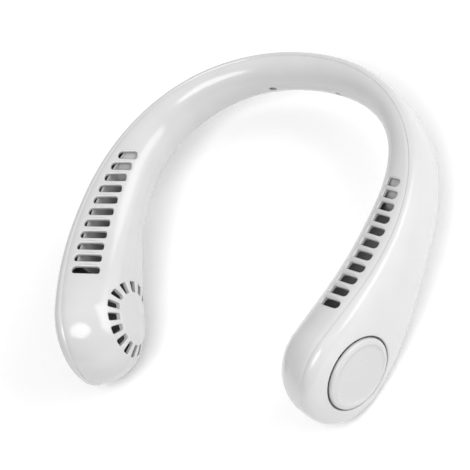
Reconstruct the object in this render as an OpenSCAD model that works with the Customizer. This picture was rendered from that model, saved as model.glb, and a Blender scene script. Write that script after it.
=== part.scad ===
// Electric neck fan: a C-shaped housing of two moulded shells that rests round the neck.
// Each front pod holds a radial fan, which blows up the arm and out of eleven slots.
// X runs over the arms, Y from the front pods to the back of the neck, Z up as it is worn.
// The origin is in the middle of the plan, at the height of the lowest point of the pods.

/* [Overall] */
// Width over both arms
overall_w = 199; // [185:1:240]
// Length from the back of the neck to the front of the pods
overall_l = 198; // [180:1:240]
// Height of a fan pod
pod_h = 60.7; // [57:0.1:74]

/* [Housing section] */
// Wall of both moulded shells
wall = 2; // [1.6:0.1:2.4]
// Depth from the parting line to the inner face at the back of the neck
neck_in = 12.3; // [11:0.1:15]
// Depth from the parting line to the inner face at the shoulder
shoulder_in = 12; // [11:0.1:15]
// Depth from the parting line to the inner face of the arm
arm_in = 25; // [20:0.1:30]
// Depth from the parting line to the inner face of the pod
pod_in = 29.2; // [27:0.1:35]
// Depth from the parting line to the outer face at the back of the neck
neck_out = 4.9; // [4.4:0.1:6]
// Depth from the parting line to the outer face at the shoulder
shoulder_out = 5.6; // [5:0.1:7]
// Depth from the parting line to the outer face of the arm
arm_out = 6.8; // [6.4:0.1:8.2]
// Depth from the parting line to the outer face of the pod
pod_out = 10.4; // [9.4:0.1:12.5]
// Height at the back of the neck
neck_h = 25.4; // [24:0.1:31]
// Height at the shoulder
shoulder_h = 30.8; // [28:0.1:37]
// Height of the arm
arm_h = 34.2; // [32:0.1:41]
// Rise of the arm's middle above the middle of the pods
arm_rise = 5.4; // [0:0.1:7]

/* [Air slots] */
// Number of air slots on each arm
slot_count = 11; // [6:1:12]
// Width of an air slot along the arm
slot_w = 4.3; // [2.6:0.1:4.6]
// Corner radius of an air slot
slot_corner = 1.6; // [0.6:0.1:1.8]

/* [Intake grille] */
// Number of slots in the ring
grille_count = 16; // [12:1:18]
// Outer radius of the ring of slots
grille_r = 19.8; // [17:0.1:21]
// Radius of the plain disc inside the ring
grille_disc_r = 14; // [12:0.1:15]
// Width of a grille slot at the rim of the ring
grille_slot_w = 4.4; // [3:0.1:5]

/* [Cap] */
// Radius of the cap
cap_r = 20; // [17:0.1:21]
// Thickness of the cap at its rim
cap_t = 1.8; // [1.4:0.1:2]
// Height of the cap's middle over the pod's face
cap_proud = 0.5; // [0:0.1:1.2]
// Drop of the cap's domed face from its middle to its rim
cap_dome = 1.1; // [0.6:0.1:1.6]
// Gap round the cap that the air goes in by
cap_gap = 0.9; // [0.6:0.1:1.4]
// Depth of the round seat in the pod
seat_depth = 4.2; // [4:0.1:5]

/* [Fan] */
// Radius of the impeller
impeller_r = 18.6; // [16:0.1:19]
// Height of the impeller
impeller_h = 11.6; // [9:0.1:12.4]
// Number of impeller blades
blade_count = 18; // [11:1:21]
// Thickness of a blade
blade_t = 0.9; // [0.7:0.1:1.2]
// Outer radius of the impeller's hub, which covers the motor
hub_r = 11.4; // [11:0.1:12.2]
// Radius of the motor shaft
shaft_r = 1; // [0.8:0.05:1.2]

/* [Button and port] */
// Radius of the power button
button_r = 4; // [3:0.1:4.6]
// Travel of the power button
button_travel = 0.5; // [0.3:0.05:0.6]
// Width of the charging port
port_w = 8.9; // [8.9:0.05:9.1]
// Height of the charging port
port_h = 3.2; // [3.2:0.05:3.3]
// Depth of the charging port
port_l = 7.3; // [6.5:0.1:8]

/* [Hidden] */

// Overrun of every cut past the face that it starts from
over = 1;
// Gap between pieces that are fitted together but don't touch
fit_gap = 0.3;
// Gap round a sliding or turning piece
slide_gap = 0.15;
$fn = 48;

// Centre line of the parting plane, seen from above
side_swell_share = 0.04;
spine_side = overall_w / 2 - arm_out * (1 + side_swell_share);
spine_back = overall_l / 2 - neck_out;
back_bend_shares = [[0, 1], [0.545, 1], [1, 0.605], [1, -0.015]];
front_bend_shares = [[1, -0.015], [1, -0.415], [0.82, -0.715], [0.73, -0.998]];
bend_steps = 50;
probe_share = 0.006;

function place(share) = [share.x * spine_side, share.y * (share.y > 0 ? spine_back : overall_l / 2)];
function bend(p, t) = (1 - t)^3 * p[0] + 3 * t * (1 - t)^2 * p[1] + 3 * t^2 * (1 - t) * p[2] + t^3 * p[3];

back_bend = [for (share = back_bend_shares) place(share)];
front_bend = [for (share = front_bend_shares) place(share)];
track = concat(
    [for (k = [0 : bend_steps]) bend(back_bend, k / bend_steps)],
    [for (k = [1 : bend_steps]) bend(front_bend, k / bend_steps)]
);
strides = [for (k = [1 : len(track) - 1]) norm(track[k] - track[k - 1])];
runs = [for (k = 0, run = 0; k <= len(strides); run = run + (k < len(strides) ? strides[k] : 0), k = k + 1)
    run
];
half_run = runs[len(strides)];
track_x = [for (k = [0 : len(strides)]) [runs[k] / half_run, track[k].x]];
track_y = [for (k = [0 : len(strides)]) [runs[k] / half_run, track[k].y]];

// A place along the housing is a share s of the run from the back of the neck, 1 at the
// front of the right pod and -1 at the front of the left pod
function spine(s) = [sign(s) * lookup(abs(s), track_x), lookup(abs(s), track_y)];
function heading(s) = spine(min(1, s + probe_share)) - spine(max(-1, s - probe_share));
function outward(s) = let (d = heading(s) / norm(heading(s))) [-d.y, d.x];
function yaw(s) = atan2(outward(s).y, outward(s).x);

// Sizes of the cross-section change smoothly between four stations
station_shares = [0, 0.3, 0.6, 0.9];
in_depths = [neck_in, shoulder_in, arm_in, pod_in];
out_depths = [neck_out, shoulder_out, arm_out, pod_out];
half_heights = [neck_h, shoulder_h, arm_h, pod_h] / 2;
rise_shares = [-0.19, 0.15, 1, 0];
rises = arm_rise * rise_shares;

function slope(v, k) =
    k == 0 || k == 3 ? 0 : (v[k + 1] - v[k - 1]) / (station_shares[k + 1] - station_shares[k - 1]);
function between(u, v) =
    let (k = u < station_shares[1] ? 0 : u < station_shares[2] ? 1 : 2)
    let (gap = station_shares[k + 1] - station_shares[k])
    let (t = min(1, (u - station_shares[k]) / gap))
    (1 + 2 * t) * (1 - t)^2 * v[k] + t * (1 - t)^2 * gap * slope(v, k)
    + t^2 * (3 - 2 * t) * v[k + 1] + t^2 * (t - 1) * gap * slope(v, k + 1);

// Past this share of the run the pod closes to its rounded front
tip_share = 0.88;
pod_probe_shares = [for (k = [0 : 75]) 0.8 + k / 500];
tip_end_share = 0.9995;
height_power = 2;
in_power = 2.25;
out_power = 2.35;

function past(u, inset) = max(0, (u - tip_share) / (1 - tip_share - inset / half_run));
function closing(u, inset, power) = max(0, 1 - past(u, inset)^power)^(1 / power);

tallest = max([for (u = pod_probe_shares) between(u, half_heights) * closing(u, 0, height_power)]);
tallest_share = tallest / (pod_h / 2);
function half_height(u, inset) =
    (between(u, half_heights) / tallest_share - inset) * closing(u, inset, height_power);
function in_depth(u, inset) = (between(u, in_depths) - inset) * closing(u, inset, in_power);
function out_depth(u, inset) = (between(u, out_depths) - inset) * closing(u, inset, out_power);
function rise(u) = between(u, rises);
// The lowest point of the pods lies at height zero
mid_z = max([for (u = pod_probe_shares) half_height(u, 0) - rise(u)]);

// Outline of the section at angle t: 0 faces out, 90 up, 180 in. The outer side is
// squarer than the inner side, and it leans out towards the bottom
out_square = 2.7;
in_square = 2;
out_lean = -0.11;
in_lean = 0.04;

function rounded(v, power) = sign(v) * abs(v)^(2 / power);
function section(u, t, inset) =
    let (out = cos(t) >= 0)
    let (square = out ? out_square : in_square)
    let (up = rounded(sin(t), square))
    let (r = rounded(cos(t), square) * (out ? out_depth(u, inset) : in_depth(u, inset)))
    [r * (1 + (out ? out_lean : in_lean) * up), half_height(u, inset) * up];
function skin(s, t, inset = 0) =
    let (p = section(abs(s), t, inset))
    let (n = outward(s))
    [spine(s).x + n.x * p[0], spine(s).y + n.y * p[0], mid_z + rise(abs(s)) + p[1]];
function skin_tilt(u, t) = let (d = section(u, t + 1, 0) - section(u, t - 1, 0)) atan2(-d[0], d[1]);
// Room in the cavity: its depth outwards and inwards at a height z over the section's
// middle, and its height at a distance r inwards and outwards
function room_out(u, z) =
    let (up = z / half_height(u, wall))
    out_depth(u, wall) * (1 - abs(up)^out_square)^(1 / out_square) * (1 + out_lean * up);
function room_in(u, z) = in_depth(u, wall) * sqrt(1 - (z / half_height(u, wall))^2);
function ceiling(u, r) = half_height(u, wall + fit_gap) * sqrt(1 - (r / in_depth(u, wall + fit_gap))^2);
function out_ceiling(u, r) =
    half_height(u, wall + fit_gap) * (1 - (r / out_depth(u, wall + fit_gap))^out_square)^(1 / out_square);

arm_steps = 18;
tip_steps = 6;
out_steps = 8;
in_steps = 12;
out_angles = [for (k = [0 : out_steps]) -90 + 180 * k / out_steps];
in_angles = [for (k = [0 : in_steps]) 90 + 180 * k / in_steps];

function tips(inset) = [for (k = [1 : tip_steps])
    tip_share + (1 - tip_share - inset / half_run) * min(tip_end_share, sin(90 * k / tip_steps))];
function stations(inset) = concat(
    [for (k = [tip_steps - 1 : -1 : 0]) -tips(inset)[k]],
    [for (k = [-arm_steps : arm_steps]) tip_share * k / arm_steps],
    tips(inset)
);

// Solid through a row of rings with the same number of points each
module loft(rings) {
    n = len(rings[0]);
    last = len(rings) - 1;
    sides = [for (i = [0 : last - 1], j = [0 : n - 1]) each [
        [i * n + j, (i + 1) * n + j, (i + 1) * n + (j + 1) % n],
        [i * n + j, (i + 1) * n + (j + 1) % n, i * n + (j + 1) % n]
    ]];
    back = [for (j = [0 : n - 1]) j];
    front = [for (j = [n - 1 : -1 : 0]) last * n + j];
    polyhedron([for (ring = rings) each ring], concat([back], sides, [front]), convexity = 12);
}

module housing_solid(angles, inset) {
    loft([for (s = stations(inset)) [for (t = angles) skin(s, t, inset)]]);
}

module cavity() {
    loop = concat(out_angles, [for (k = [1 : in_steps - 1]) in_angles[k]]);
    housing_solid(loop, wall);
}

// Everything on an arm is drawn on the right and mirrored for the left
module on_left() {
    mirror([1, 0, 0]) children();
}

module on_both() {
    children();
    on_left() children();
}

// Frame in the parting plane: X out, Y back along the arm, Z up
module at_arm(u) {
    translate([spine(u).x, spine(u).y, mid_z + rise(u)]) rotate([0, 0, yaw(u)]) children();
}

// Frame on the outside of the housing: Z away from the surface, X out at a level heading
module on_skin(u, t, turn) {
    translate(skin(u, t)) rotate([0, 0, turn]) rotate([0, 90 - skin_tilt(u, t), 0]) children();
}

module ring(outer, inner, h) {
    difference() {
        cylinder(r = outer, h = h);
        translate([0, 0, -over]) cylinder(r = inner, h = h + 2 * over);
    }
}

module each_of(count, radius, first = 0) {
    for (k = [0 : count - 1]) rotate(first + 360 * k / count) translate([radius, 0, 0]) children();
}

// Seat and cap on the pod's outer face. In this frame Z points out, X down and Y back,
// and the origin lies on the face
cap_share = 0.877;
cap_lip = 0.5;
dome_steps = 6;
seat_r = cap_r + cap_gap;
seat_floor_z = -seat_depth;
seat_under_z = seat_floor_z - wall;
leg_count = 3;
leg_circle_r = cap_r * 0.7;
leg_r = 2;
leg_pin_r = 1;
vent_count = 9;
vent_in_r = cap_r * 0.45;
vent_out_r = cap_r * 0.86;
vent_w = 3;
vent_first = 20;

module at_cap() {
    translate(skin(cap_share, 0)) rotate([0, 0, yaw(cap_share)]) rotate([0, 90, 0]) children();
}

module seat_cup() {
    translate([0, 0, seat_under_z]) cylinder(r = seat_r + wall, h = -seat_under_z + over, $fn = 36);
}

module seat_cut() {
    translate([0, 0, seat_floor_z]) cylinder(r = seat_r, h = seat_depth + 2 * over, $fn = 48);
}

module seat_vents() {
    each_of(vent_count, 0, vent_first) hull() {
        for (r = [vent_in_r, vent_out_r]) {
            translate([r, 0, seat_under_z - over]) cylinder(d = vent_w, h = wall + 2 * over, $fn = 8);
        }
    }
    each_of(leg_count, leg_circle_r) {
        translate([0, 0, seat_under_z - over]) {
            cylinder(r = leg_pin_r + slide_gap, h = wall + 2 * over, $fn = 12);
        }
    }
}

function dome(r) = cap_proud - cap_dome * (r / cap_r)^2;

module cap() {
    under = dome(cap_r) - cap_t;
    rotate_extrude() polygon(concat(
        [[0, under], [cap_r, under], [cap_r, dome(cap_r) - cap_lip]],
        [for (k = [dome_steps : -1 : 0]) let (r = (cap_r - cap_lip) * k / dome_steps) [r, dome(r)]]
    ));
    each_of(leg_count, leg_circle_r) {
        translate([0, 0, seat_floor_z]) cylinder(r = leg_r, h = under - seat_floor_z + cap_t / 2);
        translate([0, 0, seat_under_z - leg_pin_r]) cylinder(r = leg_pin_r, h = wall + leg_pin_r);
    }
}

// The fan and its intake grille have one axis, a little above and in front of the cap's
fan_up = 0.6;
fan_forward = 1.2;
plate_t = 1.6;
plate_drop = 2;
fan_clear = 0.5;
plate_z = -pod_out - plate_drop;
fan_top_z = plate_z - plate_t - fan_clear;
fan_low_z = fan_top_z - impeller_h;
rim_gap = 1.6;
rim_r = impeller_r + rim_gap;
rim_t = 1.2;
rim_h = 5;
rim_open = 130;
screw_r = 0.8;
screw_head_r = 1.5;
screw_head_h = 1.1;
screw_l = 5;
lug_count = 3;
lug_r = 2.4;
lug_circle_r = rim_r + rim_t + screw_r;
lug_first = 60;
spoke_w = 4;
post_top_z = -3;
post_root_z = -0.8 * pod_out;

module at_fan() {
    at_cap() translate([-fan_up, -fan_forward, 0]) children();
}

module frame_posts(top) {
    each_of(lug_count, lug_circle_r, lug_first) translate([0, 0, plate_z]) {
        cylinder(r = lug_r, h = top - plate_z, $fn = 12);
    }
}

module frame_post_pilots() {
    each_of(lug_count, lug_circle_r, lug_first) {
        translate([0, 0, plate_z - over]) cylinder(r = screw_r + slide_gap, h = screw_l, $fn = 12);
    }
}

// Motor: the stator sits on the fan frame's boss, inside the hub with its ring magnet
boss_r = 3.4;
bearing_r = 2.4;
shaft_fit = 0.05;
hub_wall = 1;
magnet_t = 1.2;
magnet_r = hub_r - hub_wall;
air_gap = 0.5;
stator_r = magnet_r - magnet_t - air_gap;
stator_h = impeller_h * 0.45;
stator_z = fan_top_z - impeller_h * 0.25 - stator_h;
boss_end = 0.6;
boss_l = plate_z - stator_z + boss_end;
pole_count = 9;
pole_w = 1.6;
pole_shoe_t = 1;
pole_gap_w = 1.2;

module frame_plate() {
    difference() {
        union() {
            difference() {
                circle(lug_circle_r);
                circle(rim_r - spoke_w / 2);
            }
            circle(stator_r);
            each_of(lug_count, 0, lug_first) translate([0, -spoke_w / 2]) square([rim_r, spoke_w]);
            each_of(lug_count, lug_circle_r, lug_first) circle(lug_r);
        }
        circle(bearing_r);
        each_of(lug_count, lug_circle_r, lug_first) circle(screw_r + slide_gap);
    }
}

// The rim is open towards the arm, and notched for the screws' heads
module frame_rim() {
    difference() {
        circle(rim_r + rim_t);
        circle(rim_r);
        polygon([[0, 0], for (k = [-1 : 1]) let (a = 90 + k * rim_open / 2) 2 * rim_r * [cos(a), sin(a)]]);
        each_of(lug_count, lug_circle_r, lug_first) circle(screw_head_r + 2 * fit_gap);
    }
}

module fan_frame() {
    translate([0, 0, plate_z - plate_t]) linear_extrude(plate_t) frame_plate();
    translate([0, 0, plate_z - plate_t - rim_h]) linear_extrude(rim_h) frame_rim();
    translate([0, 0, plate_z - boss_l]) ring(boss_r, bearing_r, boss_l - plate_t);
}

module bearing() {
    translate([0, 0, plate_z - boss_l]) ring(bearing_r, shaft_r + shaft_fit, boss_l);
}

module stator() {
    translate([0, 0, stator_z]) linear_extrude(stator_h) difference() {
        union() {
            circle(boss_r + pole_w);
            difference() {
                circle(stator_r);
                circle(stator_r - pole_shoe_t);
                for (k = [0 : pole_count - 1]) rotate(360 * (k + 0.5) / pole_count) {
                    translate([0, -pole_gap_w / 2]) square([stator_r + over, pole_gap_w]);
                }
            }
            for (k = [0 : pole_count - 1]) rotate(360 * k / pole_count) {
                translate([0, -pole_w / 2]) square([stator_r - pole_shoe_t / 2, pole_w]);
            }
        }
        circle(boss_r);
    }
}

board_t = 0.8;

module motor_board() {
    translate([0, 0, plate_z]) ring(stator_r, boss_r, board_t);
}

blade_in_share = 0.7;
blade_sweep = 32;
blade_steps = 4;
blade_chamfer = 2.4;
fan_disc_t = 1;
hub_end_t = 1.2;

function blade_point(q, side) =
    let (r = impeller_r * (blade_in_share + (1 - blade_in_share) * q))
    let (a = blade_sweep * q^2 + side * blade_t / r * 90 / PI)
    [r * cos(a), r * sin(a)];

module blades() {
    difference() {
        translate([0, 0, fan_low_z]) linear_extrude(impeller_h) for (k = [0 : blade_count - 1]) {
            rotate(360 * k / blade_count) polygon(concat(
                [for (q = [0 : blade_steps]) blade_point(q / blade_steps, -1)],
                [for (q = [blade_steps : -1 : 0]) blade_point(q / blade_steps, 1)]
            ));
        }
        translate([0, 0, fan_low_z - over]) rotate_extrude() {
            polygon([
                [impeller_r - blade_chamfer - over, 0],
                [impeller_r + over, 0],
                [impeller_r + over, blade_chamfer + 2 * over]
            ]);
        }
    }
}

module impeller() {
    blades();
    translate([0, 0, fan_low_z + impeller_h / 2]) {
        ring(impeller_r - blade_t, hub_r - hub_wall / 2, fan_disc_t);
    }
    difference() {
        translate([0, 0, fan_low_z]) cylinder(r = hub_r, h = impeller_h);
        translate([0, 0, fan_low_z + hub_end_t]) cylinder(r = magnet_r, h = impeller_h);
        translate([0, 0, fan_low_z - over]) cylinder(r = shaft_r, h = hub_end_t + 2 * over);
    }
}

module magnet() {
    translate([0, 0, stator_z]) ring(magnet_r, magnet_r - magnet_t, stator_h);
}

module shaft() {
    translate([0, 0, fan_low_z]) cylinder(r = shaft_r, h = plate_z + board_t - fan_low_z);
}

module frame_screw_set() {
    each_of(lug_count, lug_circle_r, lug_first) translate([0, 0, plate_z - plate_t]) {
        translate([0, 0, -screw_head_h]) cylinder(r = screw_head_r, h = screw_head_h);
        cylinder(r = screw_r, h = screw_l);
    }
}

// Intake grille on the pod's inner face, over the fan
grille_inner_w = grille_slot_w * 0.74;
grille_corner = 0.65;
grille_first = -4;
grille_low_z = -pod_out - pod_in - over;

module grille_cut() {
    each_of(grille_count, 0, grille_first) translate([0, 0, grille_low_z]) hull() {
        for (end = [[grille_disc_r, grille_inner_w], [grille_r, grille_slot_w]]) {
            for (side = [-1, 1]) translate([end[0], side * (end[1] / 2 - grille_corner), 0]) {
                cylinder(r = grille_corner, h = pod_in / 2, $fn = 8);
            }
        }
    }
}

// Air slots on top of the arms, leaning to the inner side and all at one heading
slot_first_share = 0.486;
slot_last_share = 0.798;
slot_first_angle = 115;
slot_last_angle = 112;
slot_length_share = 0.52;
slot_heading = -16;

module air_slots() {
    soft = min(slot_corner, slot_w / 2);
    for (k = [0 : slot_count - 1]) {
        q = k / (slot_count - 1);
        u = slot_first_share + (slot_last_share - slot_first_share) * q;
        length = slot_length_share * in_depth(u, 0);
        on_skin(u, slot_first_angle + (slot_last_angle - slot_first_angle) * q, slot_heading) hull() {
            for (x = [-1, 1], y = [-1, 1]) {
                translate([x * (length / 2 - soft), y * (slot_w / 2 - soft), -3 * wall]) {
                    cylinder(r = soft, h = 5 * wall, $fn = 12);
                }
            }
        }
    }
}

// Screws deep in two wells on the inner face of the neck
neck_screw_share = 0.093;
neck_screw_drop = 1.6;
well_r = 2;
well_floor = 1.2;
well_depth = 5;
neck_post_r = 2.8;
neck_screw_r = 1;
neck_screw_head_r = 1.7;
neck_screw_head_h = 1.2;
well_x = -in_depth(neck_screw_share, 0) + well_depth;
post_x = out_depth(neck_screw_share, wall / 2);
neck_screw_l = well_floor + (post_x - well_x) * 0.7;

module at_neck_screw() {
    at_arm(neck_screw_share) translate([0, 0, -neck_screw_drop]) rotate([0, 90, 0]) children();
}

module well_post() {
    translate([0, 0, well_x - well_depth + wall / 2]) {
        cylinder(r = neck_post_r, h = well_depth - wall / 2 + well_floor, $fn = 16);
    }
}

module well_cut() {
    translate([0, 0, well_x - well_depth - over]) cylinder(r = well_r, h = well_depth + over, $fn = 24);
    translate([0, 0, well_x - over]) {
        cylinder(r = neck_screw_r + slide_gap, h = well_floor + 2 * over, $fn = 16);
    }
}

module neck_post() {
    translate([0, 0, well_x + well_floor]) {
        cylinder(r = neck_post_r, h = post_x - well_x - well_floor, $fn = 16);
    }
}

module neck_post_pilot() {
    translate([0, 0, well_x]) cylinder(r = neck_screw_r + slide_gap, h = neck_screw_l + slide_gap, $fn = 16);
}

module neck_screw() {
    translate([0, 0, well_x - neck_screw_head_h]) cylinder(r = neck_screw_head_r, h = neck_screw_head_h);
    translate([0, 0, well_x]) cylinder(r = neck_screw_r, h = neck_screw_l);
}

// Batteries, one each side of the neck, over the lead that passes along its outer side
wire_r = 0.8;
wire_x = 1.2;
battery_share = 0.21;
battery_t = 6.4;
battery_h = 15;
battery_l = 34;
battery_end_shares = [for (side = [-1 : 1]) battery_share + side * battery_l / (2 * half_run)];
lead_floors = [for (u = battery_end_shares) rise(u) - rise(battery_share) - out_ceiling(u, wire_x + wire_r)];
battery_low_z = max(-battery_h / 2, max(lead_floors) + 2 * (wire_r + fit_gap));
battery_x = 2 * fit_gap - room_in(battery_share, battery_low_z + battery_h);
pad_h = 10;
pad_l = 10;
pad_t = room_out(battery_share, pad_h / 2) - 2 * fit_gap - battery_x - battery_t;

module battery() {
    at_arm(battery_share) translate([battery_x, -battery_l / 2, battery_low_z]) {
        cube([battery_t, battery_l, battery_h]);
    }
}

module battery_pad() {
    at_arm(battery_share) translate([battery_x + battery_t, -pad_l / 2, -pad_h / 2]) {
        cube([pad_t, pad_l, pad_h]);
    }
}

// Electronics in the left arm. The port opens downwards beside the parting line
board_share = 0.62;
board_l = 34;
board_h = 25;
board_x = -1;
board_end_shares = [for (side = [-1, 1]) board_share + side * board_l / (2 * half_run)];
board_floors = [for (u = board_end_shares) rise(u) - rise(board_share) - half_height(u, wall)];
board_low_z = max(board_floors) + 2 * fit_gap;
port_x = board_x - port_h;
port_low_z = -half_height(board_share, wall) - 0.9 * wall;
port_y = 9;
switch_h = 1.4;
switch_l = 6;
switch_nub_r = 1.5;
switch_nub_h = 0.4;
button_z = 4;
button_flange = 1.2;
button_flange_r = button_r + button_flange;
button_flange_t = 0.8;
button_proud = 0.6;
button_face_x = out_depth(board_share, 0) + button_proud;
button_flange_x = room_out(board_share, button_z + button_flange_r) - 2 * fit_gap - button_flange_t;
button_dish_r = 0.8 * button_r;
button_dish = 0.3;
light_count = 4;
light_pitch = 5;
light_r = 0.8;
light_z = -6.5;
light_bar_t = 1;
light_bar_x = room_out(board_share, light_z - 2 * light_r) - 3 * fit_gap - light_bar_t;
led_h = 0.7;

module at_board() {
    at_arm(board_share) children();
}

module at_button() {
    at_board() translate([0, 0, button_z]) rotate([0, 90, 0]) children();
}

module main_board_part() {
    at_board() translate([board_x, -board_l / 2, board_low_z]) cube([board_t, board_l, board_h]);
}

module port_outline(grow) {
    hull() for (y = [-1, 1]) translate([0, y * (port_w - port_h) / 2]) {
        circle(d = port_h + 2 * grow, $fn = 32);
    }
}

module at_port() {
    at_board() translate([port_x + port_h / 2, port_y, port_low_z]) children();
}

module charging_port_part() {
    port_wall = 0.35;
    tongue_h = 0.7;
    tongue_w = port_w - port_h;
    at_port() difference() {
        linear_extrude(port_l) port_outline(0);
        translate([0, 0, -over]) linear_extrude(port_l - port_wall + over) port_outline(-port_wall);
    }
    at_port() translate([-tongue_h / 2, -tongue_w / 2, over]) cube([tongue_h, tongue_w, port_l - over]);
}

module port_cut() {
    at_port() translate([0, 0, -3 * wall]) linear_extrude(port_l + 3 * wall + fit_gap) port_outline(fit_gap);
}

module push_switch_part() {
    at_board() translate([board_x + board_t, -switch_l / 2, button_z - switch_l / 2]) {
        cube([switch_h, switch_l, switch_l]);
    }
    at_button() translate([0, 0, board_x + board_t + switch_h]) {
        cylinder(r = switch_nub_r, h = switch_nub_h);
    }
}

module power_button_part() {
    nub_x = board_x + board_t + switch_h + switch_nub_h + button_travel + slide_gap / 2;
    at_button() rotate_extrude() polygon([
        [0, nub_x],
        [switch_nub_r, nub_x],
        [switch_nub_r, button_flange_x],
        [button_flange_r, button_flange_x],
        [button_flange_r, button_flange_x + button_flange_t],
        [button_r, button_flange_x + button_flange_t],
        [button_r, button_face_x - button_dish],
        [button_r - button_dish, button_face_x],
        [button_dish_r, button_face_x],
        [button_dish_r - button_dish, button_face_x - button_dish],
        [0, button_face_x - button_dish]
    ]);
}

module button_cut() {
    at_button() cylinder(r = button_r + slide_gap, h = 2 * arm_out, $fn = 36);
}

module each_light() {
    for (k = [0 : light_count - 1]) {
        y = (k - (light_count - 1) / 2) * light_pitch;
        at_board() translate([0, y, light_z]) rotate([0, 90, 0]) children();
    }
}

module light_cut() {
    each_light() cylinder(r = light_r + slide_gap / 2, h = 2 * arm_out, $fn = 12);
}

module light_guide_part() {
    bar_h = 4 * light_r;
    bar_l = (light_count - 1) * light_pitch + bar_h;
    at_board() translate([light_bar_x, -bar_l / 2, light_z - bar_h / 2]) cube([light_bar_t, bar_l, bar_h]);
    each_light() translate([0, 0, light_bar_x]) {
        cylinder(r = light_r, h = out_depth(board_share, 0) - fit_gap - light_bar_x);
    }
}

module charge_lights_part() {
    each_light() translate([-light_r, -light_r, board_x + board_t]) {
        cube([2 * light_r, 2 * light_r, led_h]);
    }
}

// Duct wall: it leads the air from the pod up the arm, under the slots
duct_first_share = 0.465;
duct_last_share = 0.775;
duct_steps = 8;
duct_wall_x = port_h - board_x + fit_gap;
duct_wall_t = 1.2;
seal_t_share = 0.02;

function duct_corner(u, r, up) =
    let (n = outward(u))
    let (h = ceiling(u, duct_wall_x + duct_wall_t))
    [spine(u).x - n.x * r, spine(u).y - n.y * r, mid_z + rise(u) + up * h];

module duct_wall() {
    deep = duct_wall_x + duct_wall_t;
    loft([for (k = [0 : duct_steps])
        let (u = duct_first_share + (duct_last_share - duct_first_share) * k / duct_steps)
        [for (corner = [[duct_wall_x, -1], [duct_wall_x, 1], [deep, 1], [deep, -1]])
            duct_corner(u, corner[0], corner[1])
        ]
    ]);
}

// The duct ends in a rounded nose under the first slots, which turns the air out of them
nose_l = 18;
nose_r = 8;
nose_turns = 8;
nose_shares = [0, 0.5, 0.8, 1];
nose_first_share = duct_first_share + duct_wall_t / half_run;

function nose_ring(u, inset) =
    let (d = in_depth(u, inset))
    let (n = outward(u))
    let (first = acos((duct_wall_x + duct_wall_t / 2) / d))
    [for (k = [0 : nose_turns])
        let (a = first * (1 - 2 * k / nose_turns))
        let (r = d * cos(a) * (1 + in_lean * sin(a)))
        [spine(u).x - n.x * r, spine(u).y - n.y * r, mid_z + rise(u) + half_height(u, inset) * sin(a)]
    ];

module duct_nose() {
    loft([for (q = nose_shares)
        nose_ring(nose_first_share + q * nose_l / half_run, wall + fit_gap + nose_r * (1 - sqrt(1 - q^2)))
    ]);
}

module duct_seal() {
    loft([for (u = [duct_first_share - seal_t_share, duct_first_share - seal_t_share / 4])
        [for (t = in_angles) skin(u, t, wall + fit_gap / 2)]
    ]);
}

// Wiring: one lead runs from the main board through the neck to the right fan, and a
// short one to the left fan. Both keep to the outer side, below the batteries
wire_sides = 6;
wire_start_share = (board_l / 2 + fit_gap) / half_run - board_share;
wire_end_share = 0.79;
wire_steps = 28;

function wire_z(u) = mid_z + rise(u) - out_ceiling(u, wire_x + wire_r) + wire_r + fit_gap;
function wire_point(s, r) = [spine(s).x + outward(s).x * r, spine(s).y + outward(s).y * r, wire_z(abs(s))];
function wire_ring(centre, ahead) =
    let (d = ahead / norm(ahead))
    let (a = cross([0, 0, 1], d) / norm(cross([0, 0, 1], d)))
    let (b = cross(d, a))
    [for (k = [0 : wire_sides - 1])
        centre + wire_r * (cos(360 * k / wire_sides) * a + sin(360 * k / wire_sides) * b)
    ];

module lead(points) {
    last = len(points) - 1;
    loft([for (k = [0 : last]) wire_ring(points[k], points[min(last, k + 1)] - points[max(0, k - 1)])]);
}

// A point in the frame of the cap, on the right for side 1 and on the left for side -1
function cap_place(side, x, y, z) =
    let (p = skin(cap_share, 0))
    let (n = outward(cap_share))
    [side * (p.x + n.x * z - n.y * y), p.y + n.y * z + n.x * y, p.z - x];
function lead_end(side) = cap_place(
    side, -fan_up + stator_r * 0.7, -fan_forward + stator_r * 0.6, plate_z + board_t + wire_r
);

module trunk(first, last, steps) {
    lead(concat(
        [for (k = [0 : steps]) wire_point(first + (last - first) * k / steps, wire_x)],
        [lead_end(sign(last))]
    ));
}

module outer_shell() {
    color("white") difference() {
        union() {
            difference() {
                housing_solid(out_angles, 0);
                cavity();
            }
            intersection() {
                housing_solid(out_angles, 0);
                on_both() {
                    at_cap() seat_cup();
                    at_fan() frame_posts(post_top_z);
                }
            }
            on_both() {
                at_fan() frame_posts(post_root_z);
                at_neck_screw() neck_post();
            }
        }
        on_both() {
            at_cap() seat_cut();
            at_cap() seat_vents();
            at_fan() frame_post_pilots();
            at_neck_screw() neck_post_pilot();
        }
        on_left() {
            button_cut();
            light_cut();
            port_cut();
        }
    }
}

module inner_shell() {
    color("whitesmoke") difference() {
        union() {
            difference() {
                housing_solid(in_angles, 0);
                cavity();
            }
            intersection() {
                housing_solid(in_angles, 0);
                on_both() at_neck_screw() well_post();
            }
        }
        on_both() {
            air_slots();
            at_fan() grille_cut();
            at_neck_screw() well_cut();
        }
        on_left() port_cut();
    }
}

module right_cap() color("white") at_cap() cap();
module left_cap() on_left() right_cap();

module right_duct_wall() {
    color("gainsboro") {
        duct_wall();
        duct_nose();
    }
}

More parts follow.
